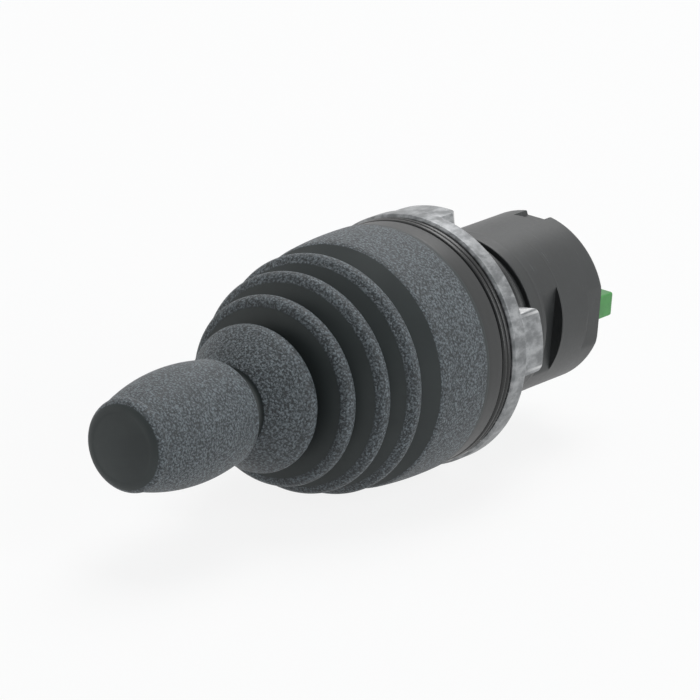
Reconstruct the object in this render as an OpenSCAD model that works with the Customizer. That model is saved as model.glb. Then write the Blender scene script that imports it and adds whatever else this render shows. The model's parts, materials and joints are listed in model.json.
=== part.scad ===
// Panel-mounted joystick head for a standard 22 mm hole.
// The origin is the centre of the panel seat. The operator is at -Y, the back of the panel at +Y, +Z is up.
// Every module is drawn along its own axis first: there +Z points at the operator and +Y points up.

/* [Panel and neck] */
// Outside diameter of the threaded neck
neck_d = 22; // [21.5:0.1:22.2]
// Length of thread behind the panel seat
thread_len = 9.3; // [8:0.1:12]
// Diameter of the relief between thread and rear body
relief_d = 19.6; // [19:0.1:20.4]
// Outside diameter of the smooth band of the housing
band_d = 29.6; // [28:0.1:30]
// Distance from the panel seat to the front of the smooth band
band_front = 4.85; // [4:0.05:6]
// Thickness of the panel gasket
gasket_t = 1.75; // [1.2:0.05:2.2]

/* [Clamp nut] */
// Outside diameter of the nut
nut_d = 30.46; // [29:0.02:32]
// Thickness of the nut without its lugs
nut_t = 2.7; // [2:0.1:4]
// Length of a spanner lug behind the nut
lug_len = 3.5; // [2:0.1:5]
// Width of a spanner lug
lug_w = 7.6; // [5:0.1:9]
// Radial thickness of a spanner lug
lug_t = 2.4; // [1.5:0.1:3]
// Angle at which the nut happens to stand
nut_turn = 10.2; // [0:0.2:44]

/* [Bellows] */
// Largest diameter of the skirt
skirt_d = 30.2; // [29:0.1:31]
// Distances of the four fold crests from the panel seat
fold_z = [17.8, 22.35, 26.55, 30.55]; // [15:0.05:34]
// Radii of the four fold crests
fold_r = [14.3, 13.15, 11.3, 8.75]; // [8:0.05:15]
// Rubber thickness in the folds
bellows_wall = 0.8; // [0.6:0.05:1]
// Round of a fold crest
crest_round = 1; // [0.9:0.05:1.2]
// Round of the last crest, where the dome starts
dome_round = 1.4; // [1:0.05:1.8]
// Round of a fold valley
valley_round = 0.55; // [0.4:0.05:0.7]

/* [Knob and lever] */
// Largest diameter of the knob
knob_d = 13.82; // [12:0.02:16]
// Distance from the panel seat to the back of the knob
knob_back = 37.3; // [37:0.1:40]
// Distance from the panel seat to the knob's tip
knob_tip = 55.5; // [52:0.1:60]
// Diameter of the steel lever
lever_d = 5; // [4:0.1:5.4]
// Outside diameter of the spacer tube round the lever
spacer_d = 6.4; // [6:0.1:6.6]

/* [Gimbal] */
// Distance from the panel seat to the centre of the gimbal
pivot_z = 9; // [8.8:0.1:9.4]
// Radius of the gimbal pins
pin_r = 1.1; // [0.8:0.05:1.3]
// Running clearance of a gimbal pin, on the radius
pin_gap = 0.03; // [0.01:0.01:0.08]
// Radius of the rocker plate
rocker_r = 8.6; // [8:0.05:8.8]
// Distance from the gimbal centre to the rocker's pushing face
rocker_drop = 2.2; // [2:0.1:2.4]

/* [Plungers] */
// Distance from the axis to the left and right plungers
side_r = 7.25; // [7:0.05:7.3]
// Distance from the axis to the upper and lower plungers
upright_r = 6.2; // [6:0.05:6.4]
// Free play between the rocker and a push rod
free_play = 0.3; // [0.28:0.01:0.4]
// How far the plungers stand out of the back
plunger_out = 4.5; // [2:0.1:5]

/* [Rear body] */
// Diameter of the rear body
rear_d = 20.9; // [20:0.1:20.9]
// Distance from the panel seat to the back end
rear_end = 25.9; // [25:0.1:28]
// Distance from the panel seat to the front of the rear body's barrel
rear_start = 11; // [10.5:0.1:12]
// Distance from the panel seat to the front wall of the locking grooves
groove_front = 13.6; // [13:0.1:14]
// Width of the locking grooves
groove_w = 3.4; // [2.6:0.1:3.5]
// Distance from the axis to the floor of a locking groove
groove_floor = 9.05; // [8.9:0.05:9.8]
// Distance from the axis to the flats at the back end
flat_r = 9.8; // [9.6:0.05:10.2]
// Length of those flats
flat_len = 3.4; // [2:0.1:3.5]
// Width of the key notch in the back rim
key_w = 3.5; // [2:0.1:5]
// Depth of the key notch
key_depth = 0.75; // [0.4:0.05:0.8]
// Length of the key notch
key_len = 3; // [2:0.1:3.5]

/* [Hidden] */
$fn = 96;
eps = 0.01;
neck_r = neck_d / 2;
bore_r = 9.2;                                   // inside of the neck
cup_r = 13.4;                                   // outside of the gimbal cup
cup_bore = 12.2;                                // inside of the gimbal cup
cup_top = 12.6;
skirt_gap = 0.02;                               // between the cup and the bellows, on the radius
bead = 0.3;                                     // snap bead that holds the skirt
bead_z = [8, 8.9];
floor_z = [1.7, 3.2];                           // web between the cup and the neck
spigot_len = 2;                                 // rear body inside the neck
nut_bore = neck_r + 0.05;
nut_chamfer = 0.3;
ring_r = [9.3, 11.2];                           // gimbal ring
ring_half = 1.8;
lever_start = 9.2;
lever_end = 52;
lever_bore_r = 1.5;                             // thread for the lever screw
lever_bore_len = 6;
insert_r = 3.4;                                 // brass insert of the knob
insert_z = [38.4, 50];
insert_neck_r = 2.9;
hub_r = 4.2;                                    // rocker
hub_top = 14;
rocker_boss_r = 1.9;
screw_head_r = 2.6;                             // lever screw
screw_head_t = 1.4;
skirt_round = 1.5;
skirt_bow = 60;                                 // radius of the skirt's slight barrel
skirt_mid = 7;
dome_r = 17.4;
dome_angles = [35, 52];
bellows_neck_r = 4.4;
bellows_end = 36.9;
knob_bow = 29;                                  // radius of the knob's barrel
knob_mid = 44.2;
rod_head_r = 1.5;
rod_r = 1;
rod_gap = 0.06;
rod_tip_z = pivot_z - rocker_drop - free_play;
shoulder_z = [-2, -0.5];
shoulder_r = 1.9;
rod_end = -24;
plunger_bevel = 0.35;
plug_z = thread_len - spigot_len;               // front of the rear body's spigot, behind the seat
plunger_start = 20.5;
plunger_end = rear_end + plunger_out;
plunger_w = [2.9, 3];                           // across the radius and along it
spring_wire = 0.2;
spring_mean_r = 1.48;
guide_y = [22.4, 24.4];                         // front and back of the guide plate
guide_r = 9;
post_r = 7;                                     // guide screws stand on this radius
screw_r = 1;
tie_r = 6;                                      // body screws stand on this radius
tie_turns = [45, 225];
tie_len = 4;                                    // body screws in the rear body
tie_head_r = 1.9;
tie_head_t = 1;
post_turns = [135, 315];
post_wall_r = 1.9;
guide_head_r = 1.8;
guide_head_t = 1.3;
floor_gap = 0.6;                                // rear body's floor behind the locking grooves
stations = [[side_r, 0], [side_r, 180], [upright_r, 90], [upright_r, 270]];

function arc(c, r, a0, a1, n) = [for (i = [0:n]) let (a = a0 + (a1 - a0) * i / n) c + r * [cos(a), sin(a)]];
function reversed(list) = [for (i = [len(list) - 1:-1:0]) list[i]];
function joined(lists) = [for (part = lists) for (p = part) p];

module facing() {
    rotate([90, 0, 0]) children();
}

module tube(r_out, r_in, z0, z1) {
    difference() {
        translate([0, 0, z0]) cylinder(r = r_out, h = z1 - z0);
        translate([0, 0, z0 - 1]) cylinder(r = r_in, h = z1 - z0 + 2);
    }
}

module disc(r, z0, z1) {
    translate([0, 0, z0]) cylinder(r = r, h = z1 - z0);
}

module at_station(place) {
    rotate(place[1]) translate([place[0], 0, 0]) children();
}

knob_bow_c = [knob_d / 2 - knob_bow, knob_mid];
knob_back_round = 1.1;
knob_tip_round = 1.5;
knob_face = 0.4;                                // how far the end face is domed

function bow_angle(z) = asin((z - knob_mid) / knob_bow);

module knob() {
    back_c = [5.3, knob_back + knob_back_round];
    tip_c = [4, knob_tip - knob_face - knob_tip_round];
    outline = joined([
        [[0, knob_back]],
        arc(back_c, knob_back_round, -90, 0, 8),
        arc(knob_bow_c, knob_bow, bow_angle(back_c.y + 0.3), bow_angle(tip_c.y - 0.3), 20),
        arc(tip_c, knob_tip_round, 0, 90, 10),
        arc([0, knob_tip - 20], 20, acos(tip_c.x / 20), 90, 4)
    ]);
    color("dimgray") facing() difference() {
        rotate_extrude() polygon(outline);
        disc(insert_r, knob_back - 1, insert_z[1]);
        disc(lever_d / 2, knob_back - 1, lever_end);
    }
}

module knob_insert() {
    color("goldenrod") facing() difference() {
        union() {
            disc(insert_r, insert_z[0], insert_z[1]);
            disc(insert_neck_r, knob_back, insert_z[0] + eps);
        }
        disc(lever_d / 2, knob_back - 1, lever_end);
    }
}

module lever_shaft() {
    color("lightsteelblue") facing() difference() {
        disc(lever_d / 2, lever_start, lever_end);
        disc(lever_bore_r, lever_start - 1, lever_start + lever_bore_len);
    }
}

module lever_spacer() {
    color("whitesmoke") facing() tube(spacer_d / 2, lever_d / 2, hub_top, knob_back);
}

module rocker() {
    color("ivory") facing() difference() {
        union() {
            disc(rocker_r, pivot_z - rocker_drop, pivot_z - 0.6);
            disc(hub_r, pivot_z - rocker_drop, hub_top);
            for (side = [90, -90]) rotate([side, 0, 0]) translate([0, pivot_z * sign(side), 0])
                disc(rocker_boss_r, 3, 8.5);
        }
        disc(lever_d / 2, lever_start, hub_top + 1);
        disc(lever_bore_r, 0, lever_start + 1);
        for (side = [90, -90]) rotate([side, 0, 0]) translate([0, pivot_z * sign(side), 0])
            disc(pin_r + pin_gap, 5, 10);
    }
}

module lever_screw() {
    head_z = [pivot_z - rocker_drop - screw_head_t, pivot_z - rocker_drop];
    color("silver") facing() difference() {
        union() {
            disc(screw_head_r, head_z[0], head_z[1]);
            disc(lever_bore_r, head_z[1] - eps, lever_start + lever_bore_len - 1);
        }
        translate([0, 0, head_z[0] - 1]) cylinder(r = 1.4, h = 1.8, $fn = 6);
    }
}

module gimbal_ring() {
    color("darkgray") facing() difference() {
        tube(ring_r[1], ring_r[0], pivot_z - ring_half, pivot_z + ring_half);
        translate([0, 0, pivot_z]) rotate([90, 0, 0]) cylinder(r = pin_r, h = 30, center = true);
        translate([0, 0, pivot_z]) rotate([0, 90, 0]) cylinder(r = pin_r + pin_gap, h = 30, center = true);
    }
}

module pin_pair(from, to) {
    for (side = [0, 180]) rotate(side) translate([from, 0, pivot_z]) rotate([0, 90, 0])
        cylinder(r = pin_r, h = to - from);
}

module inner_pins() {
    color("silver") facing() rotate(90) pin_pair(5.6, 11);
}

module outer_pins() {
    color("silver") facing() pin_pair(9.6, 13.2);
}

function crest_c(i) = [fold_r[i] - round_of(i), fold_z[i]];
function round_of(i) = i == 3 ? dome_round : crest_round;
function valley_c(i) = crest_c(i) - [0.15, round_of(i) + valley_round];
// direction of the straight flank from a crest circle to the valley circle in front of it
function flank(a, ra, b) = let (d = b - a)
    atan2(d.y, d.x) - acos((ra + valley_round) / norm(d));

skirt_bow_c = [skirt_d / 2 - skirt_bow, skirt_mid];
skirt_turn = 5.9;                               // direction of the skirt's side where its shoulder starts
shoulder_c = skirt_bow_c + (skirt_bow - skirt_round) * [cos(skirt_turn), sin(skirt_turn)];
shoulder_flank = flank(shoulder_c, skirt_round, valley_c(0));
dome_c = crest_c(3) + (dome_round - dome_r) * [cos(dome_angles[0]), sin(dome_angles[0])];

// the folds at depth t under the outer surface, from the valley in front of the skirt to the dome
function folds(t) = joined([for (i = [0:3])
    let (before = i == 0 ? shoulder_flank : flank(crest_c(i - 1), round_of(i - 1), valley_c(i)),
         after = i == 3 ? dome_angles[0] : flank(crest_c(i), round_of(i), valley_c(i + 1)))
    joined([arc(valley_c(i), valley_round + t, before + 180, 90, 6),
            arc(crest_c(i), round_of(i) - t, -90, after, 8)])]);

module bellows() {
    t = bellows_wall;
    outer = joined([
        arc(skirt_bow_c, skirt_bow, asin((band_front + 0.15 - skirt_mid) / skirt_bow), skirt_turn, 8),
        arc(shoulder_c, skirt_round, skirt_turn, shoulder_flank, 6),
        folds(0),
        arc(dome_c, dome_r, dome_angles[0], dome_angles[1], 6),
        [[bellows_neck_r, 35.3], [bellows_neck_r, bellows_end]]
    ]);
    inner = joined([
        [[cup_r + skirt_gap, band_front], [cup_r + skirt_gap, 13.3]],
        folds(t),
        arc(dome_c, dome_r - t, dome_angles[0], dome_angles[1], 6),
        [[spacer_d / 2 + 0.05, 34.7], [spacer_d / 2 + 0.05, bellows_end]]
    ]);
    color("#303234") facing() difference() {
        rotate_extrude() polygon(joined([[[skirt_d / 2 - 0.2, band_front]], outer, reversed(inner)]));
        tube(cup_r + bead + skirt_gap, cup_r - 1, bead_z[0] - skirt_gap, bead_z[1] + skirt_gap);
    }
}

module housing() {
    color("#1c1e20") facing() difference() {
        union() {
            tube(cup_r, cup_bore, floor_z[1] - eps, cup_top);
            tube(cup_r + bead, cup_bore, bead_z[0], bead_z[1]);
            disc(band_d / 2, gasket_t, band_front);
            disc(neck_r, -thread_len, gasket_t + eps);
        }
        disc(cup_bore, floor_z[1], cup_top + 1);
        disc(bore_r, -thread_len - 1, floor_z[0]);
        tube(neck_r + 1, neck_r - 0.5, -thread_len - 1, -thread_len + 0.3);
        translate([0, 0, pivot_z]) rotate([0, 90, 0]) cylinder(r = pin_r, h = 26.4, center = true);
        for (place = stations) at_station(place) disc(rod_head_r + rod_gap, 0, 5);
        for (turn = tie_turns) rotate(turn) translate([tie_r, 0, 0]) {
            disc(tie_head_r, floor_z[1] - tie_head_t, floor_z[1] + 1);
            disc(screw_r, 0, 5);
        }
    }
}

module body_screws() {
    color("silver") facing() for (turn = tie_turns) rotate(turn) translate([tie_r, 0, 0]) difference() {
        union() {
            disc(tie_head_r, floor_z[1] - tie_head_t, floor_z[1]);
            disc(screw_r, -plug_z - tie_len, floor_z[1] - tie_head_t + eps);
        }
        translate([0, 0, floor_z[1] - 0.6]) cylinder(r = 1, h = 1, $fn = 6);
    }
}

module panel_gasket() {
    lip = 0.45;
    rim = band_d / 2 + 0.1;
    color("#141516") facing() rotate_extrude() polygon(joined([
        [[neck_r, 0], [rim - lip, 0]],
        arc([rim - lip, lip], lip, -90, 60, 6),
        [[rim - 0.6, gasket_t / 2]],
        arc([rim - lip, gasket_t - 0.1 - lip], lip, -60, 90, 6),
        [[rim - 1.2, gasket_t - 0.1], [rim - 1.2, gasket_t], [neck_r, gasket_t]]
    ]));
}

module clamp_nut() {
    r = nut_d / 2;
    c = nut_chamfer;
    lug_r = r - 0.2;
    reach = nut_t + lug_len;
    color("lightgray") facing() rotate(nut_turn) union() {
        rotate_extrude() polygon([[nut_bore, -c], [nut_bore + c, 0], [r - c, 0], [r, -c],
            [r, c - nut_t], [r - c, -nut_t], [nut_bore + c, -nut_t], [nut_bore, c - nut_t]]);
        for (turn = [0:90:270]) rotate(turn) intersection() {
            tube(lug_r, lug_r - lug_t, -reach, eps - nut_t);
            translate([5, 0, 0]) rotate([90, 0, 90]) linear_extrude(15) lug_outline(reach);
        }
    }
}

module lug_outline(reach) {
    corner = 0.9;
    polygon(joined([
        [[-lug_w / 2, 0]],
        arc([corner - lug_w / 2, corner - reach], corner, 180, 270, 6),
        arc([lug_w / 2 - corner, corner - reach], corner, 270, 360, 6),
        [[lug_w / 2, 0]]
    ]));
}

module push_rod(place) {
    color("whitesmoke") facing() at_station(place) union() {
        translate([0, 0, rod_tip_z - rod_head_r]) sphere(r = rod_head_r);
        disc(rod_head_r, shoulder_z[1] - eps, rod_tip_z - rod_head_r);
        disc(shoulder_r, shoulder_z[0], shoulder_z[1]);
        disc(rod_r, rod_end, shoulder_z[0] + eps);
    }
}

module push_rod_right() { push_rod(stations[0]); }
module push_rod_left() { push_rod(stations[1]); }
module push_rod_top() { push_rod(stations[2]); }
module push_rod_bottom() { push_rod(stations[3]); }

// a bar along the plunger's travel, bevelled at the tip on two sides
module plunger_bar(width, depth) {
    half = width / 2;
    rotate([90, 0, 0]) linear_extrude(depth, center = true) polygon([
        [-half, -plunger_start], [-half, plunger_bevel - plunger_end], [plunger_bevel - half, -plunger_end],
        [half - plunger_bevel, -plunger_end], [half, plunger_bevel - plunger_end], [half, -plunger_start]
    ]);
}

module plunger(place) {
    color("limegreen") facing() at_station(place) difference() {
        intersection() {
            plunger_bar(plunger_w[0], plunger_w[1]);
            rotate(90) plunger_bar(plunger_w[1], plunger_w[0]);
        }
        disc(rod_r, rod_end, 0);
    }
}

module plunger_right() { plunger(stations[0]); }
module plunger_left() { plunger(stations[1]); }
module plunger_top() { plunger(stations[2]); }
module plunger_bottom() { plunger(stations[3]); }

function coil_point(u, side, turns, z0, z1) =
    let (a = 360 * turns * u, b = 60 * side, r = spring_mean_r + spring_wire * cos(b))
    [r * cos(a), r * sin(a), z0 + (z1 - z0) * u + spring_wire * sin(b)];

module spring(place) {
    turns = 5;
    steps = 14 * turns;
    z0 = spring_wire + 0.02 - plug_z;
    z1 = shoulder_z[0] - spring_wire - 0.02;
    points = [for (i = [0:steps]) for (side = [0:5]) coil_point(i / steps, side, turns, z0, z1)];
    sides = [for (i = [0:steps - 1]) for (k = [0:5])
        let (a = 6 * i + k, b = 6 * i + (k + 1) % 6) [a, a + 6, b + 6, b]];
    ends = [[for (k = [0:5]) k], [for (k = [5:-1:0]) 6 * steps + k]];
    color("silver") facing() at_station(place) polyhedron(points, joined([sides, ends]));
}

module spring_right() { spring(stations[0]); }
module spring_left() { spring(stations[1]); }
module spring_top() { spring(stations[2]); }
module spring_bottom() { spring(stations[3]); }

module rear_body() {
    r = rear_d / 2;
    color("#1c1e20") facing() difference() {
        union() {
            disc(bore_r, -thread_len - eps, -plug_z);
            disc(relief_d / 2, -rear_start - eps, -thread_len);
            disc(r, -rear_end, -rear_start);
        }
        disc(guide_r, -rear_end - 1, -groove_front - groove_w - floor_gap);
        for (place = stations) at_station(place) disc(rod_r + rod_gap, -rear_end, 0);
        for (turn = tie_turns) rotate(turn) translate([tie_r, 0, 0]) disc(screw_r, -plug_z - tie_len, 0);
        for (side = [0, 180]) rotate(side) {
            translate([groove_floor, -r, -groove_front - groove_w]) cube([5, 2 * r, groove_w]);
            translate([flat_r, -r, -rear_end - 1]) cube([5, 2 * r, flat_len + 1]);
        }
        translate([-key_w / 2, r - key_depth, -rear_end - 1]) cube([key_w, 5, key_len + 1]);
    }
    color("#1c1e20") facing() for (turn = post_turns) rotate(turn) translate([post_r, 0, 0])
        tube(post_wall_r, screw_r, -guide_y[0], -groove_front - groove_w - floor_gap + eps);
}

module rear_guide() {
    color("#2a2c2e") facing() difference() {
        disc(guide_r, -guide_y[1], -guide_y[0]);
        for (place = stations) at_station(place) translate([0, 0, -guide_y[1] - 1])
            linear_extrude(4) square([plunger_w[0] + 0.2, plunger_w[1] + 0.2], center = true);
        for (turn = post_turns) rotate(turn) translate([post_r, 0, 0]) {
            disc(screw_r, -guide_y[1] - 1, 0);
            disc(guide_head_r, -guide_y[1] - 1, 1 - guide_y[1]);
        }
    }
}

module guide_screws() {
    color("silver") facing() for (turn = post_turns) rotate(turn) translate([post_r, 0, 0]) difference() {
        union() {
            disc(guide_head_r, 1 - guide_head_t - guide_y[1], 1 - guide_y[1]);
            disc(screw_r, 1 - guide_y[1] - eps, 3 - guide_y[0]);
        }
        for (slot = [0, 90]) rotate(slot) translate([0, 0, 1 - guide_head_t - guide_y[1]])
            cube([2.2, 0.45, 1.2], center = true);
    }
}

knob();
knob_insert();
lever_shaft();
lever_spacer();
rocker();
lever_screw();
gimbal_ring();
inner_pins();
outer_pins();
bellows();
housing();
body_screws();
panel_gasket();
clamp_nut();
push_rod_right();
push_rod_left();
push_rod_top();
push_rod_bottom();
plunger_right();
plunger_left();
plunger_top();
plunger_bottom();
spring_right();
spring_left();
spring_top();
spring_bottom();
rear_body();
rear_guide();
guide_screws();
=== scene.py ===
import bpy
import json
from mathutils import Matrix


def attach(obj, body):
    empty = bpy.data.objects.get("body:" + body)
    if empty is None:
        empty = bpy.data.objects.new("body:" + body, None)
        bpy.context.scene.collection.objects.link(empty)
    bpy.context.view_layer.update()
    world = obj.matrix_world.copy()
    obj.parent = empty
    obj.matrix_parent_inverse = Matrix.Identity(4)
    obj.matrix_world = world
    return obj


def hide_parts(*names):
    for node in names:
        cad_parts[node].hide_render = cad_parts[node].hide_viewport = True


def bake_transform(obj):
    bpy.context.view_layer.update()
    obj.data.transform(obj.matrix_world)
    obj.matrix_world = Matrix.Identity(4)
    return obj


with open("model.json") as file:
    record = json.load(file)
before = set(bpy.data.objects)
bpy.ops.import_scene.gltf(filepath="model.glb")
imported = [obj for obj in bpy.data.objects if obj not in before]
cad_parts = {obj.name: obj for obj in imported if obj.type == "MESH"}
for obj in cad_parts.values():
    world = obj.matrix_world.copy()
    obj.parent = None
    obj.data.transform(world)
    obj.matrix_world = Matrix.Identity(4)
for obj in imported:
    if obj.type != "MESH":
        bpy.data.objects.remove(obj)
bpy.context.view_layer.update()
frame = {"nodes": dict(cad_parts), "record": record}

import json
import math

import bmesh
import bpy
import numpy as np
from mathutils import Matrix, Vector

# Everything below is drawn in millimetres and scaled on the way into a mesh.
# "out" is the distance in front of the panel seat, towards the operator, so y = -out.
mm = 0.001
nodes = frame["nodes"]
print("frame loaded,", len(nodes), "nodes")


# shader graphs

class Wire:
    # one output socket, usable in plain arithmetic
    def __init__(self, graph, socket):
        self.graph = graph
        self.socket = socket

    def calc(self, operation, first, second=0.0):
        return self.graph.add("Math", {"operation": operation}, {0: first, 1: second})

    def __add__(self, other):
        return self.calc("ADD", self, other)

    def __sub__(self, other):
        return self.calc("SUBTRACT", self, other)

    def __rsub__(self, other):
        return self.calc("SUBTRACT", other, self)

    def __mul__(self, other):
        return self.calc("MULTIPLY", self, other)

    def __truediv__(self, other):
        return self.calc("DIVIDE", self, other)

    def __rtruediv__(self, other):
        return self.calc("DIVIDE", other, self)

    def __pow__(self, other):
        return self.calc("POWER", self, other)

    __radd__ = __add__
    __rmul__ = __mul__

    def between(self, low, high):
        # 0 below low, 1 above high, smooth between them
        return self.graph.add("MapRange", {"interpolation_type": "SMOOTHSTEP"},
                              {"Value": self, "From Min": low, "From Max": high})


class Graph:
    def __init__(self, owner):
        owner.use_nodes = True
        self.owner = owner
        self.tree = owner.node_tree
        self.tree.nodes.clear()

    def add(self, kind, settings=None, sockets=None, output=0):
        node = self.tree.nodes.new("ShaderNode" + kind)
        for key, value in (settings or {}).items():
            if key == "stops":
                self.setStops(node.color_ramp, value)
            else:
                setattr(node, key, value)
        for key, value in (sockets or {}).items():
            if isinstance(value, Wire):
                self.tree.links.new(value.socket, node.inputs[key])
            else:
                node.inputs[key].default_value = value
        return Wire(self, node.outputs[output]) if len(node.outputs) else node

    def setStops(self, ramp, stops):
        while len(ramp.elements) > 1:
            ramp.elements.remove(ramp.elements[-1])
        for index, (position, level) in enumerate(stops):
            stop = ramp.elements[0] if index == 0 else ramp.elements.new(position)
            stop.position = position
            stop.color = (level, level, level, 1)

    def mixColour(self, factor, first, second, mode="MIX"):
        return self.add("Mix", {"data_type": "RGBA", "blend_type": mode},
                        {0: factor, 6: first, 7: second}, output=2)

    def vector(self, operation, first, second):
        return self.add("VectorMath", {"operation": operation}, {0: first, 1: second})

    def place(self, stretch=(1, 1, 1)):
        # object coordinates in millimetres, stretched where a finish runs one way
        where = self.add("TexCoord", output="Object")
        return self.vector("MULTIPLY", where, [s / mm for s in stretch])

    def noise(self, where, scale, detail=3, roughness=0.55):
        return self.add("TexNoise", {}, {"Vector": where, "Scale": scale, "Detail": detail,
                                         "Roughness": roughness})

    def cells(self, where, scale, feature="F1"):
        return self.add("TexVoronoi", {"feature": feature}, {"Vector": where, "Scale": scale})

    def zone(self):
        return self.add("Attribute", {"attribute_name": "zone"}, output="Fac")

    def bump(self, height, strength, distance, under=None):
        sockets = {"Height": height, "Strength": strength, "Distance": distance * mm}
        if under is not None:
            sockets["Normal"] = under
        return self.add("Bump", {}, sockets)

    def finish(self, sockets):
        shader = self.add("BsdfPrincipled", {}, sockets)
        self.add("OutputMaterial", {}, {"Surface": shader})
        return self.owner


def newFinish(name):
    return Graph(bpy.data.materials.new(name))


def grey(level, tint=(0.94, 1.0, 1.03)):
    return [level * t for t in tint] + [1]


# mesh tools

def arc(centre, radius, start, end, steps):
    angles = np.radians(np.linspace(start, end, steps + 1))
    return [(centre[0] + radius * math.cos(a), centre[1] + radius * math.sin(a)) for a in angles]


def filleted(corners, steps=5):
    # corners are (radius, out, fillet); the first and last stay sharp
    points = []
    for index, (r, o, fillet) in enumerate(corners):
        here = np.array((r, o), float)
        if fillet <= 0 or index in (0, len(corners) - 1):
            points.append((r, o))
            continue
        before = np.array(corners[index - 1][:2], float) - here
        after = np.array(corners[index + 1][:2], float) - here
        before /= np.linalg.norm(before)
        after /= np.linalg.norm(after)
        half = math.acos(max(-1.0, min(1.0, float(before @ after)))) / 2
        reach = fillet / math.tan(half)
        middle = here + (before + after) / np.linalg.norm(before + after) * (fillet / math.sin(half))
        first, last = here + before * reach - middle, here + after * reach - middle
        turn = math.pi - 2 * half
        for k in range(steps + 1):
            mix = k / steps
            spot = (math.sin((1 - mix) * turn) * first + math.sin(mix * turn) * last) / math.sin(turn)
            points.append(tuple(middle + spot))
    return points


def refined(points, longest):
    # extra points so that no straight run is longer than this
    fine = [points[0]]
    for a, b in zip(points, points[1:]):
        count = max(1, math.ceil(math.dist(a, b) / longest))
        fine += [(a[0] + (b[0] - a[0]) * k / count, a[1] + (b[1] - a[1]) * k / count)
                 for k in range(1, count + 1)]
    return fine


def smoothShade(piece, crease=35):
    piece.data.shade_smooth()
    piece.data.set_sharp_from_angle(angle=math.radians(crease))
    return piece


def turned(name, outline, segments=192, looped=False, angles=None, reshape=None, zoneAt=None,
           crease=35):
    # a body of revolution; reshape may cut flats, threads or notches into it
    if angles is None:
        angles = [2 * math.pi * k / segments for k in range(segments)]
    spots, zones = [], []
    for r, out in outline:
        for a in angles:
            radius = reshape(r, out, a) if reshape else r
            spots.append((radius * math.cos(a) * mm, -out * mm, radius * math.sin(a) * mm))
        zones += [zoneAt(r, out) if zoneAt else 0.0] * len(angles)
    rows, columns = len(outline), len(angles)
    faces = []
    for i in range(rows if looped else rows - 1):
        for k in range(columns):
            j, m = (i + 1) % rows, (k + 1) % columns
            faces.append((i * columns + k, j * columns + k, j * columns + m, i * columns + m))
    mesh = bpy.data.meshes.new(name)
    mesh.from_pydata(spots, [], faces)
    mesh.attributes.new("zone", "FLOAT", "POINT").data.foreach_set("value", zones)
    return cleaned(mesh, name, crease)


def cleaned(mesh, name, crease=35):
    work = bmesh.new()
    work.from_mesh(mesh)
    bmesh.ops.remove_doubles(work, verts=work.verts, dist=1e-7)
    bmesh.ops.dissolve_degenerate(work, edges=work.edges, dist=1e-8)
    bmesh.ops.recalc_face_normals(work, faces=work.faces)
    work.to_mesh(mesh)
    work.free()
    piece = bpy.data.objects.new(name, mesh)
    bpy.context.scene.collection.objects.link(piece)
    return smoothShade(piece, crease)


def applied(piece, crease=35):
    # bakes the modifiers into the mesh
    bpy.context.view_layer.update()
    shaped = bpy.data.meshes.new_from_object(piece.evaluated_get(
        bpy.context.evaluated_depsgraph_get()))
    piece.modifiers.clear()
    piece.data = shaped
    return smoothShade(piece, crease)


def drilled(piece, cutters, crease=35):
    for cutter in cutters:
        modifier = piece.modifiers.new("cut", "BOOLEAN")
        modifier.operation = "DIFFERENCE"
        modifier.solver = "MANIFOLD"
        modifier.object = cutter
    applied(piece, crease)
    for cutter in cutters:
        bpy.data.objects.remove(cutter)
    return piece


def bevelled(piece, width, segments=3, limit=40, crease=35):
    modifier = piece.modifiers.new("bevel", "BEVEL")
    modifier.width = width * mm
    modifier.segments = segments
    modifier.limit_method = "ANGLE"
    modifier.angle_limit = math.radians(limit)
    return applied(piece, crease)


def pin(name, radius, front, back, x=0.0, z=0.0, segments=64):
    piece = turned(name, [(0, front), (radius, front), (radius, back), (0, back)], segments)
    piece.data.transform(Matrix.Translation((x * mm, 0, z * mm)))
    return piece


def block(name, low, high):
    # low and high are (x, y, z) corners
    mesh = bpy.data.meshes.new(name)
    work = bmesh.new()
    bmesh.ops.create_cube(work, size=1)
    for vertex in work.verts:
        for axis in range(3):
            vertex.co[axis] = (low if vertex.co[axis] < 0 else high)[axis] * mm
    work.to_mesh(mesh)
    work.free()
    return cleaned(mesh, name)


def settle(piece, finish, slot, body, *stoodFor):
    piece.data.materials.clear()
    piece.data.materials.append(finish)
    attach(piece, body)
    if stoodFor:
        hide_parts(*stoodFor)


# knob

knob = dict(
    largest=6.91, back=37.3, tip=55.5, backRound=1.1, backRoundAt=5.3, tipRound=1.5, tipRoundAt=4.0,
    barrelRadius=29, barrelAt=44.2, faceRadius=20, faceRise=0.4, grainEnd=54.75, collarBore=3.4,
    leverBore=2.5, collarEnd=50, leverEnd=52, colour=0.085, grain=4.4, grainDepth=0.09)


def knobOutline():
    k = knob
    bowAt = (k["largest"] - k["barrelRadius"], k["barrelAt"])

    def bowAngle(out):
        return math.degrees(math.asin((out - k["barrelAt"]) / k["barrelRadius"]))

    backAt = (k["backRoundAt"], k["back"] + k["backRound"])
    tipAt = (k["tipRoundAt"], k["tip"] - k["faceRise"] - k["tipRound"])
    faceEdge = math.degrees(math.acos(tipAt[0] / k["faceRadius"]))
    inside = [(0, k["leverEnd"]), (k["leverBore"], k["leverEnd"]), (k["leverBore"], k["collarEnd"]),
              (k["collarBore"], k["collarEnd"]), (k["collarBore"], k["back"] + 0.15),
              (k["collarBore"] + 0.15, k["back"])]
    side = (arc(backAt, k["backRound"], -90, -10, 10)
            + arc(bowAt, k["barrelRadius"], bowAngle(backAt[1] + 0.3), bowAngle(tipAt[1] - 0.3), 40))
    front = (arc(tipAt, k["tipRound"], 5, 88, 16)
             + arc((0, k["tip"] - k["faceRadius"]), k["faceRadius"], faceEdge, 90, 10))
    return refined(inside, 2) + refined(side + front, 0.25)


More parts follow.
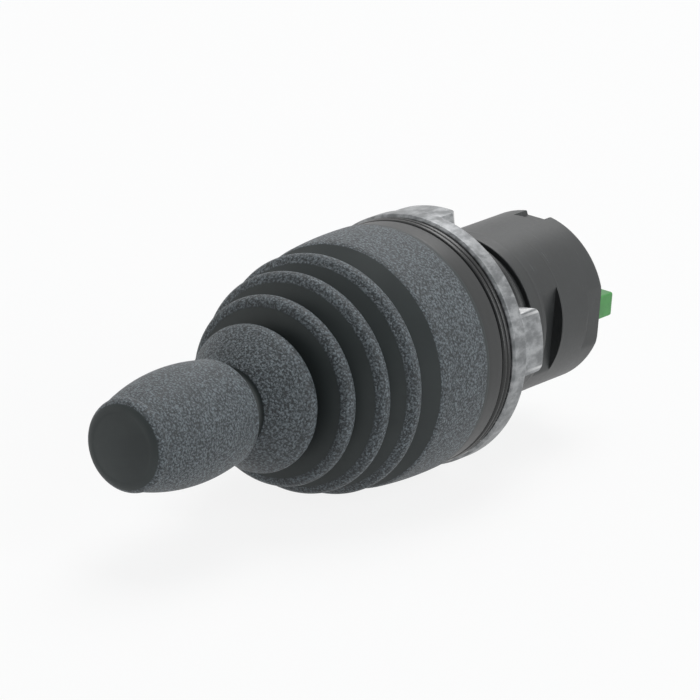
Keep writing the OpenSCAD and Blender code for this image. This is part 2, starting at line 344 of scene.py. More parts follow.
def grainedFinish(name, colour, grain, depth, tint=(0.86, 1.0, 1.1), gloss=0.5):
    # eroded mould grain where zone is 1, its peaks painted pale as glints over dark pits; dark and satin where it
    # is 0
    g = newFinish(name)
    where = g.place()
    zone = g.zone()
    grit = g.noise(where, grain, 2, 0.75)
    pits = g.cells(where, grain * 0.75)
    peaks = (grit * 1.3 - pits * 0.45 + 0.05).between(0.3, 0.78)
    cloud = g.noise(where, 0.22, 3, 0.5).between(0.3, 0.7)
    wear = g.noise(where, 0.9, 4, 0.6).between(0.5, 0.8) * 0.2
    # the pale end of this mix is painted glints on the grain peaks; the wear patches push the mix towards it at
    # random
    glintsAndWear = g.mixColour(peaks + wear, grey(colour * 0.35, tint), grey(colour * 2.4, tint))
    bare = g.mixColour(cloud * 0.5, grey(colour * 0.34, (0.8, 1.0, 1.02)), grey(colour * 0.5, (0.82, 1.0, 1.0)))
    base = g.mixColour(zone, bare, glintsAndWear)
    rough = gloss + grit * 0.1 - zone * peaks * 0.08
    height = (peaks * 0.8 + grit * 0.5) * zone + g.noise(where, grain * 0.5, 3, 0.5) * 0.1
    return g.finish({"Base Color": base, "Roughness": rough,
                     "Normal": g.bump(height, 0.9, depth),
                     "Specular IOR Level": 0.4, "IOR": 1.5})


def knobZone(r, out):
    return 1.0 if out < knob["grainEnd"] and r > knob["collarBore"] + 0.3 else 0.0


knobShell = turned("knobShell", knobOutline(), 256, zoneAt=knobZone)
knobFinish = grainedFinish("knobPlastic", knob["colour"], knob["grain"], knob["grainDepth"])
settle(knobShell, knobFinish, "grained_plastic", "lever", "knob")
print("knob made")


# bellows: a lower and an upper part, split at the floor of a valley

bellows = dict(
    skirt=15.1, skirtBow=60, skirtAt=7, skirtTurn=5.9, shoulder=1.5, front=4.85, cup=13.4, bead=0.3,
    beadAt=(8, 8.9), cupEnd=13.3, crestAt=(17.8, 22.35, 26.55, 30.55), crest=(14.3, 13.15, 11.3, 8.75),
    crestRound=1.0, domeRound=1.4, valleyRound=0.55, valleyShift=0.15, wall=0.8, dome=17.4,
    domeFrom=35, domeTo=52, neck=4.4, neckFrom=35.3, neckTo=36.9, bore=3.25, boreFrom=34.7,
    seam=2, lowerBend=(14.5, 25.0), upperBend=(25.0, 34.5),
    colour=0.08, grain=4.2, grainDepth=0.08)


def crestRound(i):
    return bellows["domeRound"] if i == 3 else bellows["crestRound"]


def crestCentre(i):
    return np.array((bellows["crest"][i] - crestRound(i), bellows["crestAt"][i]))


def valleyCentre(i):
    return crestCentre(i) - (bellows["valleyShift"], crestRound(i) + bellows["valleyRound"])


def flankTurn(centre, radius, valley):
    # direction of the straight flank between a crest and the valley in front of it
    across = valley - centre
    return (math.degrees(math.atan2(across[1], across[0]))
            - math.degrees(math.acos((radius + bellows["valleyRound"]) / np.linalg.norm(across))))


def bellowsFolds(depth):
    # the folds at a depth under the outer skin, one list for each fold
    b = bellows
    runs = []
    for i in range(4):
        before = (shoulderFlank if i == 0
                  else flankTurn(crestCentre(i - 1), crestRound(i - 1), valleyCentre(i)))
        after = b["domeFrom"] if i == 3 else flankTurn(crestCentre(i), crestRound(i), valleyCentre(i + 1))
        valley = arc(valleyCentre(i), b["valleyRound"] + depth, before + 180, 90, 12)
        crest = arc(crestCentre(i), crestRound(i) - depth, -90, after, 22)
        runs.append((valley, crest))
    return runs


skirtCentre = np.array((bellows["skirt"] - bellows["skirtBow"], bellows["skirtAt"]))
shoulderCentre = skirtCentre + (bellows["skirtBow"] - bellows["shoulder"]) * np.array(
    (math.cos(math.radians(bellows["skirtTurn"])), math.sin(math.radians(bellows["skirtTurn"]))))
shoulderFlank = flankTurn(shoulderCentre, bellows["shoulder"], valleyCentre(0))
domeCentre = crestCentre(3) + (bellows["domeRound"] - bellows["dome"]) * np.array(
    (math.cos(math.radians(bellows["domeFrom"])), math.sin(math.radians(bellows["domeFrom"]))))


def bellowsHalf(upper):
    b = bellows
    outer, inner = bellowsFolds(0), bellowsFolds(b["wall"])
    cut = b["seam"]
    if upper:
        # starts at the floor of the seam's valley
        outside = outer[cut][0][-1:] + outer[cut][1]
        inside = inner[cut][0][-1:] + inner[cut][1]
        for i in range(cut + 1, 4):
            outside += outer[i][0] + outer[i][1]
            inside += inner[i][0] + inner[i][1]
        outside += arc(domeCentre, b["dome"], b["domeFrom"], b["domeTo"], 16)[1:]
        outside += filleted([outside[-1] + (0,), (b["neck"], b["neckFrom"], 0.5),
                             (b["neck"], b["neckTo"], 0.25), (b["bore"], b["neckTo"], 0)])[1:]
        inside += arc(domeCentre, b["dome"] - b["wall"], b["domeFrom"], b["domeTo"], 8)[1:]
        inside += [(b["bore"], b["boreFrom"])]
    else:
        low = math.degrees(math.asin((b["front"] + 0.15 - b["skirtAt"]) / b["skirtBow"]))
        outside = [(b["skirt"] - 0.22, b["front"]), (b["skirt"] - 0.06, b["front"] + 0.05)]
        outside += arc(skirtCentre, b["skirtBow"], low, b["skirtTurn"], 24)
        outside += arc(shoulderCentre, b["shoulder"], b["skirtTurn"], shoulderFlank, 14)[1:]
        inside = [(b["cup"], b["front"]), (b["cup"], b["beadAt"][0]),
                  (b["cup"] + b["bead"], b["beadAt"][0]), (b["cup"] + b["bead"], b["beadAt"][1]),
                  (b["cup"], b["beadAt"][1]), (b["cup"], b["cupEnd"])]
        for i in range(cut):
            outside += outer[i][0] + outer[i][1]
            inside += inner[i][0] + inner[i][1]
        outside += outer[cut][0]
        inside += inner[cut][0]
    return outside, inside


def bellowsZone(r, out):
    # grain on the skirt, the crests and the dome; the valleys and flanks come smooth off the core
    b = bellows
    if out < b["front"] + 0.5:
        return 0.0
    if out < 13.9:
        return 1.0
    for i in range(3):
        crest = crestCentre(i)
        if abs(out - crest[1]) < 1.25 and r > crest[0] - 0.1 and out > crest[1] - 0.93:
            return 1.0
    if out > crestCentre(3)[1] - 1.3 and out < b["neckFrom"] - 0.2 and r > b["neck"]:
        return 1.0
    return 0.0


def ringFrom(name, outside, inside, zoneAt, segments=256):
    outline = refined(outside, 0.22) + refined(inside[::-1], 0.6)
    skin = len(refined(outside, 0.22))
    marks = {id(spot): n < skin for n, spot in enumerate(outline)}
    zones = iter([zoneAt(*spot) if marks[id(spot)] else 0.0 for spot in outline])
    return turned(name, outline, segments, looped=True, zoneAt=lambda r, out: next(zones), crease=50)


bellowsFinish = grainedFinish("bellowsRubber", bellows["colour"], bellows["grain"],
                              bellows["grainDepth"], gloss=0.5)
for name, upper, bodies, bend in (("bellowsSkirt", False, ("head", "gimbal"), bellows["lowerBend"]),
                                  ("bellowsDome", True, ("gimbal", "lever"), bellows["upperBend"])):
    part = ringFrom(name, *bellowsHalf(upper), bellowsZone)
    part.data.materials.append(bellowsFinish)
    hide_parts("bellows")
    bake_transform(part)
print("bellows made")


# housing: band, cup for the gimbal and threaded neck

housing = dict(
    band=14.8, bandFront=4.85, bandBack=1.75, edge=0.25, cup=13.4, cupBore=12.2, cupTop=12.6,
    bead=0.3, beadAt=(8, 8.9), web=(1.7, 3.2), neck=11, neckEnd=-9.3, lead=0.3, bore=9.2,
    pitch=1.0, threadDepth=0.42, threadFrom=-8.9, threadTo=-0.3,
    rodHole=1.56, rodAt=((7.25, 0), (-7.25, 0), (0, 6.2), (0, -6.2)), screwHole=1.0, screwAt=6,
    screwTurns=(45, 225), pinHole=1.1, pivot=9.0, colour=0.016)


def threadCut(depth, pitch, first, last, inside=False):
    # V thread with a flat crest, faded in and out at its ends
    def reshape(r, out, angle):
        if not first < out < last:
            return r
        phase = (out / pitch - angle / (2 * math.pi)) % 1
        groove = max(0.0, 1 - abs(phase - 0.5) / 0.44)
        fade = min(1.0, (out - first) / pitch, (last - out) / pitch)
        return r + (depth if inside else -depth) * groove * fade
    return reshape


def housingOutline():
    h = housing
    corners = [(h["bore"], h["web"][0], 0), (h["bore"], h["neckEnd"], 0.15),
               (h["neck"] - 0.5, h["neckEnd"], 0.1), (h["neck"] - 0.5, h["neckEnd"] + h["lead"], 0),
               (h["neck"], h["neckEnd"] + h["lead"], 0.05), (h["neck"], h["bandBack"], 0),
               (h["band"], h["bandBack"], h["edge"]), (h["band"], h["bandFront"], h["edge"]),
               (h["cup"], h["bandFront"], 0), (h["cup"], h["beadAt"][0], 0),
               (h["cup"] + h["bead"], h["beadAt"][0], 0), (h["cup"] + h["bead"], h["beadAt"][1], 0),
               (h["cup"], h["beadAt"][1], 0), (h["cup"], h["cupTop"], 0.2),
               (h["cupBore"], h["cupTop"], 0.2), (h["cupBore"], h["web"][1], 0)]
    outline = []
    for a, b in zip(filleted(corners), filleted(corners)[1:]):
        threaded = a[0] == b[0] == h["neck"]
        outline += refined([a, b], 0.08 if threaded else 1.2)[:-1]
    return [(0, h["web"][0])] + outline + [(h["cupBore"], h["web"][1]), (0, h["web"][1])]


def neckThread(r, out, angle):
    return cutNeck(r, out, angle) if r > housing["neck"] - 0.1 and out < 0 else r


def mouldedFinish(name, colour, gloss=0.42, scuffs=0.0, tint=(0.92, 1.0, 1.02), fibres=0.5):
    # satin moulding: faint orange peel, flow clouds, short pale scuffs running round
    g = newFinish(name)
    where = g.place()
    peel = g.noise(where, 2.4, 4, 0.6)
    cloud = g.noise(where, 0.16, 3, 0.5).between(0.25, 0.75)
    along = g.noise(g.place((0.12, 4.5, 0.12)), 1.6, 3, 0.6)
    patches = g.noise(where, 0.28, 2, 0.5).between(0.45, 0.62)
    scuff = along.between(0.62, 0.72) * patches * scuffs
    dust = g.noise(where, 7, 2, 0.5).between(0.66, 0.78) * 0.25
    base = g.mixColour(cloud * 0.5, grey(colour * 0.8, tint), grey(colour * 1.3, tint))
    base = g.mixColour(scuff + dust * fibres, base, grey(0.16, tint))
    rough = gloss + peel * 0.14 + scuff * 0.25
    return g.finish({"Base Color": base, "Roughness": rough,
                     "Normal": g.bump(peel + scuff * 0.6, 0.35, 0.02), "IOR": 1.5})


h = housing
cutNeck = threadCut(h["threadDepth"], h["pitch"], h["threadFrom"], h["threadTo"])
shell = turned("housingShell", housingOutline(), 192, reshape=neckThread)
cutters = [pin("rodCut", h["rodHole"], 0, 5, *spot) for spot in h["rodAt"]]
for turn in h["screwTurns"]:
    spot = (h["screwAt"] * math.cos(math.radians(turn)), h["screwAt"] * math.sin(math.radians(turn)))
    cutters += [pin("screwCut", h["screwHole"], 0, 5, *spot),
                pin("headCut", 1.9, h["web"][1] - 1, h["web"][1] + 1, *spot)]
pinCut = pin("pinCut", h["pinHole"], -13.2, 13.2)
pinCut.data.transform(Matrix.Translation((0, -h["pivot"] * mm, 0)) @ Matrix.Rotation(math.pi / 2, 4, "Z"))
cutters.append(pinCut)
drilled(shell, cutters)
housingFinish = mouldedFinish("housingNylon", h["colour"], gloss=0.36)
settle(shell, housingFinish, "black_plastic", "head", "housing")
print("housing made")


# panel gasket with its two lips

gasket = dict(bore=11.0, rim=14.9, lip=0.45, waist=0.6, thick=1.75, gap=0.1, colour=0.008)


def gasketOutline():
    s = gasket
    low, high = s["lip"], s["thick"] - s["gap"] - s["lip"]
    return ([(s["bore"], 0)] + arc((s["rim"] - s["lip"], low), s["lip"], -90, 62, 14)
            + arc((s["rim"] - s["lip"] - 0.04, s["thick"] / 2), 0.2, -120, -240, 6)
            + arc((s["rim"] - s["lip"], high), s["lip"], -62, 90, 14)
            + [(s["rim"] - 1.2, s["thick"] - s["gap"]), (s["rim"] - 1.2, s["thick"]), (s["bore"], s["thick"])])


gasketPiece = turned("gasketRing", refined(gasketOutline(), 0.8), 224, looped=True)
gasketFinish = mouldedFinish("gasketRubber", gasket["colour"], gloss=0.22, fibres=0.8)
settle(gasketPiece, gasketFinish, "gasket_rubber", "head", "panel_gasket")
print("gasket made")


# clamp nut with four spanner lugs

nut = dict(
    outer=15.23, bore=11.05, thick=2.7, chamfer=0.3, pitch=1.0, threadDepth=0.4,
    lugReach=6.2, lugWidth=7.6, lugOuter=15.03, lugThick=2.4, lugCorner=0.9, lugEdge=0.22, turn=10.2,
    colour=0.3)


def nutOutline():
    n = nut
    c = n["chamfer"]
    corners = [(n["bore"], -c - 0.01, 0), (n["bore"] + c, 0, 0.05), (n["outer"] - c, 0, 0.12),
               (n["outer"], -c, 0.12), (n["outer"], c - n["thick"], 0.12),
               (n["outer"] - c, -n["thick"], 0.12), (n["bore"] + c, -n["thick"], 0.05),
               (n["bore"], c - n["thick"], 0)]
    rim = filleted(corners, 3)
    bore = [(n["bore"], c - n["thick"] + (n["thick"] - 2 * c) * k / 22) for k in range(1, 22)]
    return rim + bore


def nutThread(r, out, angle):
    n = nut
    if r > n["bore"] + 0.01:
        return r
    return max(n["bore"], cutNut(r, out, angle))


def lug(turn):
    # straight sides, rounded rear corners, both faces following the nut
    n = nut
    half, corner = n["lugWidth"] / 2, n["lugCorner"]
    inner = n["lugOuter"] - n["lugThick"]
    side = [(-half, 0.5 - n["thick"])] + arc((corner - half, corner - n["lugReach"]), corner, 180, 270, 8)
    rear = [(x, -n["lugReach"]) for x in np.linspace(corner - half, half - corner, 13)[1:-1]]
    edge = side + rear + [(-x, out) for x, out in side[::-1]]
    work = bmesh.new()
    skins = []
    for radius in (n["lugOuter"], inner):
        skins.append([(work.verts.new((math.sqrt(radius ** 2 - x * x), -out, x)),
                       work.verts.new((math.sqrt(radius ** 2 - x * x), n["thick"] - 0.5, x)))
                      for x, out in edge])
    count = len(edge)
    for skin in skins:
        for k in range(1, count - 2):
            work.faces.new((skin[k][0], skin[k + 1][0], skin[k + 1][1], skin[k][1]))
    for k in range(count - 1):
        work.faces.new((skins[0][k][0], skins[1][k][0], skins[1][k + 1][0], skins[0][k + 1][0]))
    for k in range(1, count - 2):
        work.faces.new((skins[0][k][1], skins[0][k + 1][1], skins[1][k + 1][1], skins[1][k][1]))
    bmesh.ops.remove_doubles(work, verts=work.verts, dist=1e-5)
    for vertex in work.verts:
        vertex.co *= mm
    mesh = bpy.data.meshes.new("lug")
    work.to_mesh(mesh)
    work.free()
    piece = cleaned(mesh, "lug")
    piece.data.transform(Matrix.Rotation(-math.radians(turn), 4, "Y"))
    return bevelled(piece, n["lugEdge"], 3, 50)


def joined(name, parts):
    work = bmesh.new()
    for part in parts:
        work.from_mesh(part.data)
        bpy.data.objects.remove(part)
    mesh = bpy.data.meshes.new(name)
    work.to_mesh(mesh)
    work.free()
    return cleaned(mesh, name)


def castFinish(name, colour):
    # zinc straight from the die: flow marks, dull film, sharp edges painted pale as a highlight, and fine draw
    # lines
    g = newFinish(name)
    where = g.place()
    flow = g.noise(g.place((1, 0.5, 1)), 0.8, 5, 0.62).between(0.35, 0.68)
    film = g.noise(where, 3.2, 4, 0.6)
    lines = g.noise(g.place((0.5, 6, 0.5)), 1.1, 3, 0.6)
    pits = g.cells(where, 2.2).between(0.0, 0.35)
    edge = g.add("NewGeometry", output="Pointiness").between(0.52, 0.62)
    base = g.mixColour(flow, grey(colour * 0.55, (0.96, 1.0, 1.03)), grey(colour * 1.2, (0.98, 1, 1.02)))
    base = g.mixColour(film.between(0.56, 0.7) * 0.5, base, grey(0.2, (0.97, 1, 1.02)))
    # painted highlight: the sharp convex edges are painted pale
    base = g.mixColour(edge * 0.6, base, grey(0.75, (1, 1, 1)))
    rough = 0.33 + flow * 0.18 + film * 0.12
    height = film * 0.6 + flow * 0.5 + lines * 0.5 + pits * 0.4
    return g.finish({"Base Color": base, "Roughness": rough, "Metallic": 0.8,
                     "Normal": g.bump(height, 0.5, 0.05)})


n = nut
cutNut = threadCut(n["threadDepth"], n["pitch"], -n["thick"], 0, inside=True)
ring = turned("nutRing", nutOutline(), 192, looped=True, reshape=nutThread)
clampNut = joined("clampNut", [ring] + [lug(n["turn"] + quarter) for quarter in (0, 90, 180, 270)])
nutFinish = castFinish("diecastZinc", nut["colour"])
settle(clampNut, nutFinish, "diecast", "nut", "clamp_nut")
print("nut made")


# rear body: locking grooves, flats and the key notch

rear = dict(
    spigot=9.2, spigotFrom=7.3, relief=9.8, reliefFrom=9.3, barrel=10.45, barrelFrom=11, end=25.9,
    edge=0.3, rim=9.0, floorAt=17.6, groove=(13.6, 17.0), grooveFloor=9.05, flat=9.8, flatFrom=22.5,
    soft=0.05, notchHalf=1.75, notchFloor=9.72, notchFrom=22.9, partingAt=(13.0, 17.25), ridge=0.012,
    rodHole=1.06, screwHole=1.0, postAt=7, postTurns=(135, 315), post=1.9, colour=0.026)


def planeDistance(y):
    # how far the side planes stand from the axis at this station
    s = rear
    far = s["barrel"] + 0.5
    stations = [(0, far)]
    for start, stop, plane in ((*s["groove"], s["grooveFloor"]), (s["flatFrom"], s["end"] + 1, s["flat"])):
        w = s["soft"]
        stations += [(start - 2 * w, far), (start - w, s["barrel"]), (start - 0.2 * w, s["barrel"] - w),
                     (start, plane + w), (start + 0.2 * w, plane), (stop - 0.2 * w, plane),
                     (stop, plane + w), (stop + 0.2 * w, s["barrel"] - w), (stop + w, s["barrel"]),
                     (stop + 2 * w, far)]
    return float(np.interp(y, *zip(*stations)))


def rearShape(r, out, angle):
    s = rear
    y = -out
    if r < s["relief"] + 0.01 or y < s["barrelFrom"] + 0.1:
        return r
    sideways = abs(math.cos(angle))
    limit = planeDistance(y) / max(sideways, 1e-6)
    if r > s["barrel"] - 0.01:
        for at in s["partingAt"]:
            r += s["ridge"] * max(0.0, 1 - abs(y - at) / 0.07)
    shaped = min(r, limit) if abs(r - limit) > 0.04 else min(r, limit) - 0.01 * (1 - abs(r - limit) / 0.04)
    if y > s["notchFrom"] and math.sin(angle) > 0 and abs(shaped * math.cos(angle)) < s["notchHalf"] - 1e-3:
        shaped = min(shaped, s["notchFloor"] / math.sin(angle))
    return shaped


def rearOutline():
    s = rear
    front = filleted([(0, -s["spigotFrom"], 0), (s["spigot"], -s["spigotFrom"], 0.2),
                      (s["spigot"], -s["reliefFrom"], 0), (s["relief"], -s["reliefFrom"], 0.1),
                      (s["relief"], -s["barrelFrom"], 0), (s["barrel"], -s["barrelFrom"], 0.2),
                      (s["barrel"], -s["barrelFrom"] - 0.5, 0)], 4)
    w = s["soft"]
    marks = {-s["barrelFrom"] - 0.5}
    for start in (*s["groove"], s["flatFrom"], s["notchFrom"]):
        marks |= {-(start + w * k) for k in (-2, -1, -0.2, 0, 0.2, 1, 2)}
    for at in s["partingAt"]:
        marks |= {-(at + k) for k in (-0.07, 0, 0.07)}
    marks |= {-y for y in np.arange(s["barrelFrom"] + 1, s["end"] - 0.5, 0.5)}
    side = [(s["barrel"], out) for out in sorted(marks, reverse=True)]
    back = filleted([(s["barrel"], -s["end"] + 0.6, 0), (s["barrel"], -s["end"], s["edge"]),
                     (s["rim"], -s["end"], 0.2), (s["rim"], -s["floorAt"], 0), (0, -s["floorAt"], 0)], 4)
    return front + side[1:] + back


notchTurns = [math.radians(90 + side * math.degrees(math.asin(rear["notchHalf"] / reach)))
              for side in (-1, 1) for reach in (rear["barrel"], 9.94)]
rearTurns = sorted({2 * math.pi * k / 240 for k in range(240)} | set(notchTurns))
rearShell = turned("rearBody", rearOutline(), angles=rearTurns, reshape=rearShape, crease=28)
drilled(rearShell, [pin("rodCut", rear["rodHole"], -30, 0, *spot) for spot in housing["rodAt"]], 28)
rearFinish = mouldedFinish("rearNylon", rear["colour"], gloss=0.38, scuffs=0.6)
settle(rearShell, rearFinish, "black_plastic", "head", "rear_body")
print("rear body made")


# guide plate and its screws

guide = dict(radius=9.0, front=22.4, back=24.4, slot=(3.1, 3.2), edge=0.12, screwBore=1.0, sink=1.8,
             sinkDepth=1.0, colour=0.028)
guideScrew = dict(head=1.8, rise=0.3, shank=1.0, shankEnd=19.4, crossWidth=0.45, crossLength=2.2, crossDepth=0.6)


def slotBlock(name, spot, size, low, high):
    x, z = spot
    return block(name, (x - size[0] / 2, low, z - size[1] / 2), (x + size[0] / 2, high, z + size[1] / 2))


def acrossStation(spot, size):
    # the first size runs away from the axis, the second along it
    return size if spot[0] else size[::-1]


s = guide
plate = turned("guidePlate", filleted([(0, -s["front"], 0), (s["radius"] - 0.05, -s["front"], 0.15),
                                       (s["radius"] - 0.05, -s["back"], 0.15), (0, -s["back"], 0)]), 128)
cutters = [slotBlock("slotCut", spot, acrossStation(spot, s["slot"]), 20, 30) for spot in housing["rodAt"]]
postSpots = [(rear["postAt"] * math.cos(math.radians(t)), rear["postAt"] * math.sin(math.radians(t)))
             for t in rear["postTurns"]]
cutters += [pin("sinkCut", s["sink"], -30, -s["back"] + s["sinkDepth"], *spot) for spot in postSpots]
drilled(plate, cutters)
bevelled(plate, s["edge"], 2, 50)
settle(plate, mouldedFinish("guideNylon", s["colour"], gloss=0.4), "black_plastic", "head", "rear_guide")

posts = [turned("post", [(rear["post"], -rear["floorAt"]), (rear["post"], -s["front"]),
                         (rear["screwHole"], -s["front"]), (rear["screwHole"], -rear["floorAt"])], 48, looped=True)
         for spot in postSpots]
for post, spot in zip(posts, postSpots):
    post.data.transform(Matrix.Translation((spot[0] * mm, 0, spot[1] * mm)))
settle(joined("guidePosts", posts), rearFinish, "black_plastic", "head")


def metalFinish(name, colour, gloss=0.3, tint=(0.98, 1.0, 1.03), run=(1, 1, 1), tarnish=0.35):
    # turned or plated metal: tool marks, tarnish clouds and paler wear
    g = newFinish(name)
    where = g.place()
    marks = g.noise(g.place(run), 5, 3, 0.6)
    cloud = g.noise(where, 0.6, 4, 0.55).between(0.35, 0.7)
    base = g.mixColour(cloud * tarnish, grey(colour, tint), grey(colour * 0.5, tint))
    base = g.mixColour(marks.between(0.6, 0.72) * 0.3, base, grey(min(1, colour * 1.4), tint))
    return g.finish({"Base Color": base, "Roughness": gloss + marks * 0.15 + cloud * 0.08,
                     "Metallic": 0.95, "Normal": g.bump(marks, 0.3, 0.02)})


c = guideScrew
screws = []
for spot, turn in zip(postSpots, (20, 65)):
    top = -s["back"] - c["rise"]
    screw = turned("screw", filleted([(0, -c["shankEnd"], 0), (c["shank"], -c["shankEnd"], 0.3),
                                      (c["shank"], -s["back"] + s["sinkDepth"], 0),
                                      (c["head"] - 0.04, -s["back"] + s["sinkDepth"], 0.1),
                                      (c["head"] - 0.04, top, 0.35), (0, top, 0)]), 64)
    cross = []
    for quarter in (0, 90):
        bar = block("crossCut", (-c["crossLength"] / 2, -top - c["crossDepth"], -c["crossWidth"] / 2),
                    (c["crossLength"] / 2, -top + 1, c["crossWidth"] / 2))
        bar.data.transform(Matrix.Rotation(math.radians(turn + quarter), 4, "Y"))
        cross.append(bar)
    drilled(screw, cross)
    screw.data.transform(Matrix.Translation((spot[0] * mm, 0, spot[1] * mm)))
    screws.append(screw)
plated = metalFinish("platedSteel", 0.58, gloss=0.28)
settle(joined("guideScrews", screws), plated, "steel", "head", "guide_screws")
print("guide made")


# plungers

plunger = dict(size=(2.9, 3.0), front=20.5, back=30.4, corner=0.3, tip=0.35, rod=1.0, rodEnd=24,
               colour=(0.045, 0.23, 0.05))


def greenFinish():
    g = newFinish("greenPlastic")
    where = g.place()
    cloud = g.noise(where, 0.5, 3, 0.5).between(0.3, 0.7)
    peel = g.noise(where, 4, 3, 0.6)
    r, gr, b = plunger["colour"]
    base = g.mixColour(cloud, [r * 0.85, gr * 0.85, b * 0.85, 1], [r * 1.25, gr * 1.2, b * 1.2, 1])
    base = g.mixColour(peel.between(0.6, 0.75) * 0.15, base, [r * 2, gr * 1.5, b * 2, 1])
    return g.finish({"Base Color": base, "Roughness": 0.38 + peel * 0.15,
                     "Normal": g.bump(peel, 0.25, 0.02), "IOR": 1.49})


green = greenFinish()
p = plunger
for side, spot in zip(("right", "left", "top", "bottom"), housing["rodAt"]):
    size = acrossStation(spot, p["size"])
    peg = slotBlock("plunger_" + side + "_peg", spot, size, p["front"], p["back"])
    work = bmesh.new()
    work.from_mesh(peg.data)
    long = [e for e in work.edges if abs(e.verts[0].co.y - e.verts[1].co.y) > 1e-6]
    bmesh.ops.bevel(work, geom=long, offset=p["corner"] * mm, segments=4, profile=0.5, affect="EDGES")
    ends = [e for e in work.edges if all(v.co.y > (p["back"] - 0.01) * mm for v in e.verts)
            and any(len(f.verts) > 4 for f in e.link_faces)]
    bmesh.ops.bevel(work, geom=ends, offset=p["tip"] * mm, segments=3, profile=0.6, affect="EDGES")
    work.to_mesh(peg.data)
    work.free()
    drilled(peg, [pin("rodCut", p["rod"] + 0.01, -p["rodEnd"], -10, *spot)], 40)
    settle(peg, green, "green_plastic", "plunger_" + side + "_body", "plunger_" + side)
print("plungers made")


# finishes of the parts inside, which keep their solids

naturalPlastic = mouldedFinish("naturalPlastic", 0.62, gloss=0.4, tint=(1.02, 1.0, 0.94), fibres=0.1)
brassFinish = metalFinish("brass", 0.6, gloss=0.25, tint=(1.25, 0.9, 0.4), run=(0.3, 4, 0.3))
steelFinish = metalFinish("groundSteel", 0.6, gloss=0.22, run=(0.3, 6, 0.3))
wireFinish = metalFinish("springWire", 0.5, gloss=0.3, run=(3, 3, 3), tarnish=0.2)
innerFinish = {"brass": brassFinish, "steel": steelFinish, "natural_plastic": naturalPlastic,
               "diecast": nutFinish, "spring_steel": wireFinish, "black_plastic": housingFinish,
               "bellows_rubber": bellowsFinish, "gasket_rubber": gasketFinish,
               "grained_plastic": knobFinish, "green_plastic": green}
slotOf = {part["node"]: part["material_slot"] for part in frame["record"]["subparts"]}
for nodeName, node in nodes.items():
    node.data.materials.clear()
    node.data.materials.append(innerFinish[slotOf[nodeName]])
print("inner parts finished")


# stage, light and camera

studio = dict(
    floorAt=-15.25, floorSize=6.0, floorColour=0.8, floorGlow=0.86, roomColour=(0.93, 0.98, 1.0),
    roomStrength=0.3, cardFrom=-0.75, cardTo=0.15, glow=1.0)
lamps = (
    dict(name="overhead", at=(-0.12, 0.28, 0.85), size=(0.42, 1.0), watts=6.0, colour=(1, 1, 1)),
    dict(name="right", at=(0.9, 0.12, 0.3), size=(0.36, 1.1), watts=4.5, colour=(0.96, 0.99, 1)),
    dict(name="left", at=(-0.65, -0.75, 0.1), size=(0.6, 0.6), watts=2.0, colour=(1, 1, 0.97)))
view = dict(aim=(-5.304, -4.261, -1.593), azimuth=34.605, elevation=18.743, roll=4.547, distance=756.4,
            lens=329.6)


def rayKinds(g):
    # 1 for rays from the camera, and 1 for mirror and clear bounces
    path = g.add("LightPath").socket.node
    camera, glossy, clear = (Wire(g, path.outputs[kind + " Ray"])
                             for kind in ("Is Camera", "Is Glossy", "Is Transmission"))
    bounced = glossy + clear
    return camera, bounced.calc("MINIMUM", bounced, 1.0)


def floorFinish():
    g = newFinish("floorCard")
    where = g.add("TexCoord", output="Object")
    fibre = g.noise(where, 60, 4, 0.5)
    level = studio["floorColour"]
    base = g.mixColour(fibre * 0.08, [level] * 3 + [1], [level * 0.94] * 3 + [1])
    card = g.add("BsdfPrincipled", {}, {"Base Color": base, "Roughness": 0.8,
                                        "Specular IOR Level": 0.2})
    glow = g.add("Emission", {}, {"Color": (1, 1, 1, 1), "Strength": studio["glow"]})
    camera, bounced = rayKinds(g)
    seen = camera.calc("MAXIMUM", camera, bounced)
    mixed = g.add("MixShader", {}, {0: seen * studio["floorGlow"], 1: card, 2: glow})
    g.add("OutputMaterial", {}, {"Surface": mixed})
    return g.owner


def buildStage():
    half = studio["floorSize"] / 2
    z = studio["floorAt"] * mm
    mesh = bpy.data.meshes.new("floor")
    mesh.from_pydata([(-half, -half, z), (half, -half, z), (half, half, z), (-half, half, z)], [],
                     [(0, 1, 2, 3)])
    floor = bpy.data.objects.new("floor", mesh)
    bpy.context.scene.collection.objects.link(floor)
    mesh.materials.append(floorFinish())


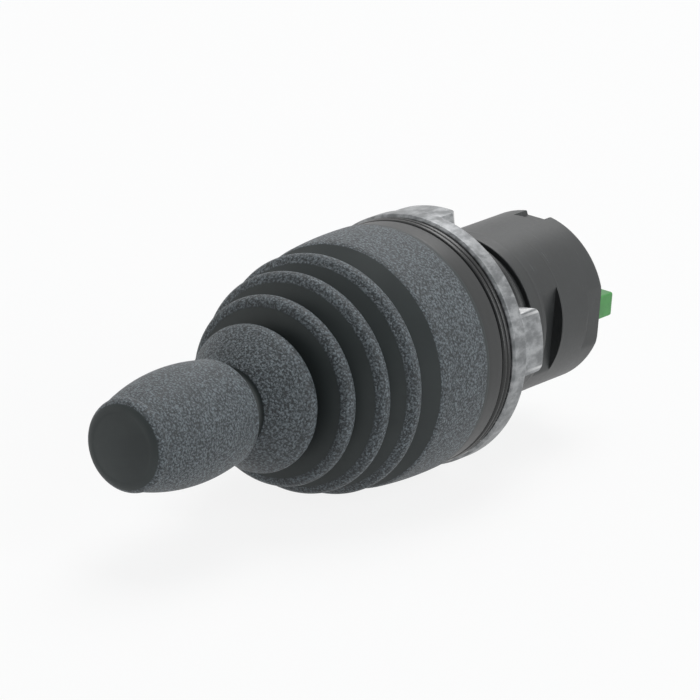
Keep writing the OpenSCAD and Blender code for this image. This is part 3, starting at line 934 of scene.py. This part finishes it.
def buildWorld():
    # a white card all round and behind, a dim room in front
    world = bpy.data.worlds.new("studio")
    bpy.context.scene.world = world
    g = Graph(world)
    room = g.add("Background", {}, {"Color": (*studio["roomColour"], 1),
                                    "Strength": studio["roomStrength"]})
    white = g.add("Background", {}, {"Color": (1, 1, 1, 1), "Strength": 1.0})
    depth = g.add("SeparateXYZ", {}, {0: g.add("TexCoord", output="Generated")}, output=1)
    card = g.add("MapRange", {"interpolation_type": "SMOOTHSTEP"},
                 {"Value": depth, "From Min": studio["cardFrom"], "From Max": studio["cardTo"]})
    camera, bounced = rayKinds(g)
    mixed = g.add("MixShader", {}, {0: camera.calc("MAXIMUM", camera, bounced * card),
                                    1: room, 2: white})
    g.add("OutputWorld", {}, {"Surface": mixed})


def buildLamps():
    for lamp in lamps:
        light = bpy.data.lights.new(lamp["name"], "AREA")
        light.shape = "RECTANGLE"
        light.size, light.size_y = lamp["size"]
        light.energy = lamp["watts"]
        light.color = lamp["colour"]
        holder = bpy.data.objects.new(lamp["name"], light)
        holder.location = lamp["at"]
        holder.rotation_euler = (-Vector(lamp["at"])).to_track_quat("-Z", "Y").to_euler()
        bpy.context.scene.collection.objects.link(holder)


def buildCamera():
    az, el, roll = (math.radians(view[k]) for k in ("azimuth", "elevation", "roll"))
    back = Vector((math.sin(az) * math.cos(el), -math.cos(az) * math.cos(el), math.sin(el)))
    level = Vector((0, 0, 1)).cross(back).normalized()
    right = (Matrix.Rotation(roll, 3, back) @ level).normalized()
    up = back.cross(right)
    lens = bpy.data.cameras.new("camera")
    lens.lens = view["lens"]
    lens.sensor_width = 36
    lens.clip_start = 0.01
    holder = bpy.data.objects.new("camera", lens)
    place = Vector(view["aim"]) * mm + back * view["distance"] * mm
    turn = Matrix((right, up, back)).transposed().to_4x4()
    holder.matrix_world = Matrix.Translation(place) @ turn
    bpy.context.scene.collection.objects.link(holder)
    bpy.context.scene.camera = holder


buildStage()
buildWorld()
buildLamps()
buildCamera()
bpy.context.scene.view_settings.view_transform = "Standard"
print("stage, lamps and camera set")

bpy.context.view_layer.update()
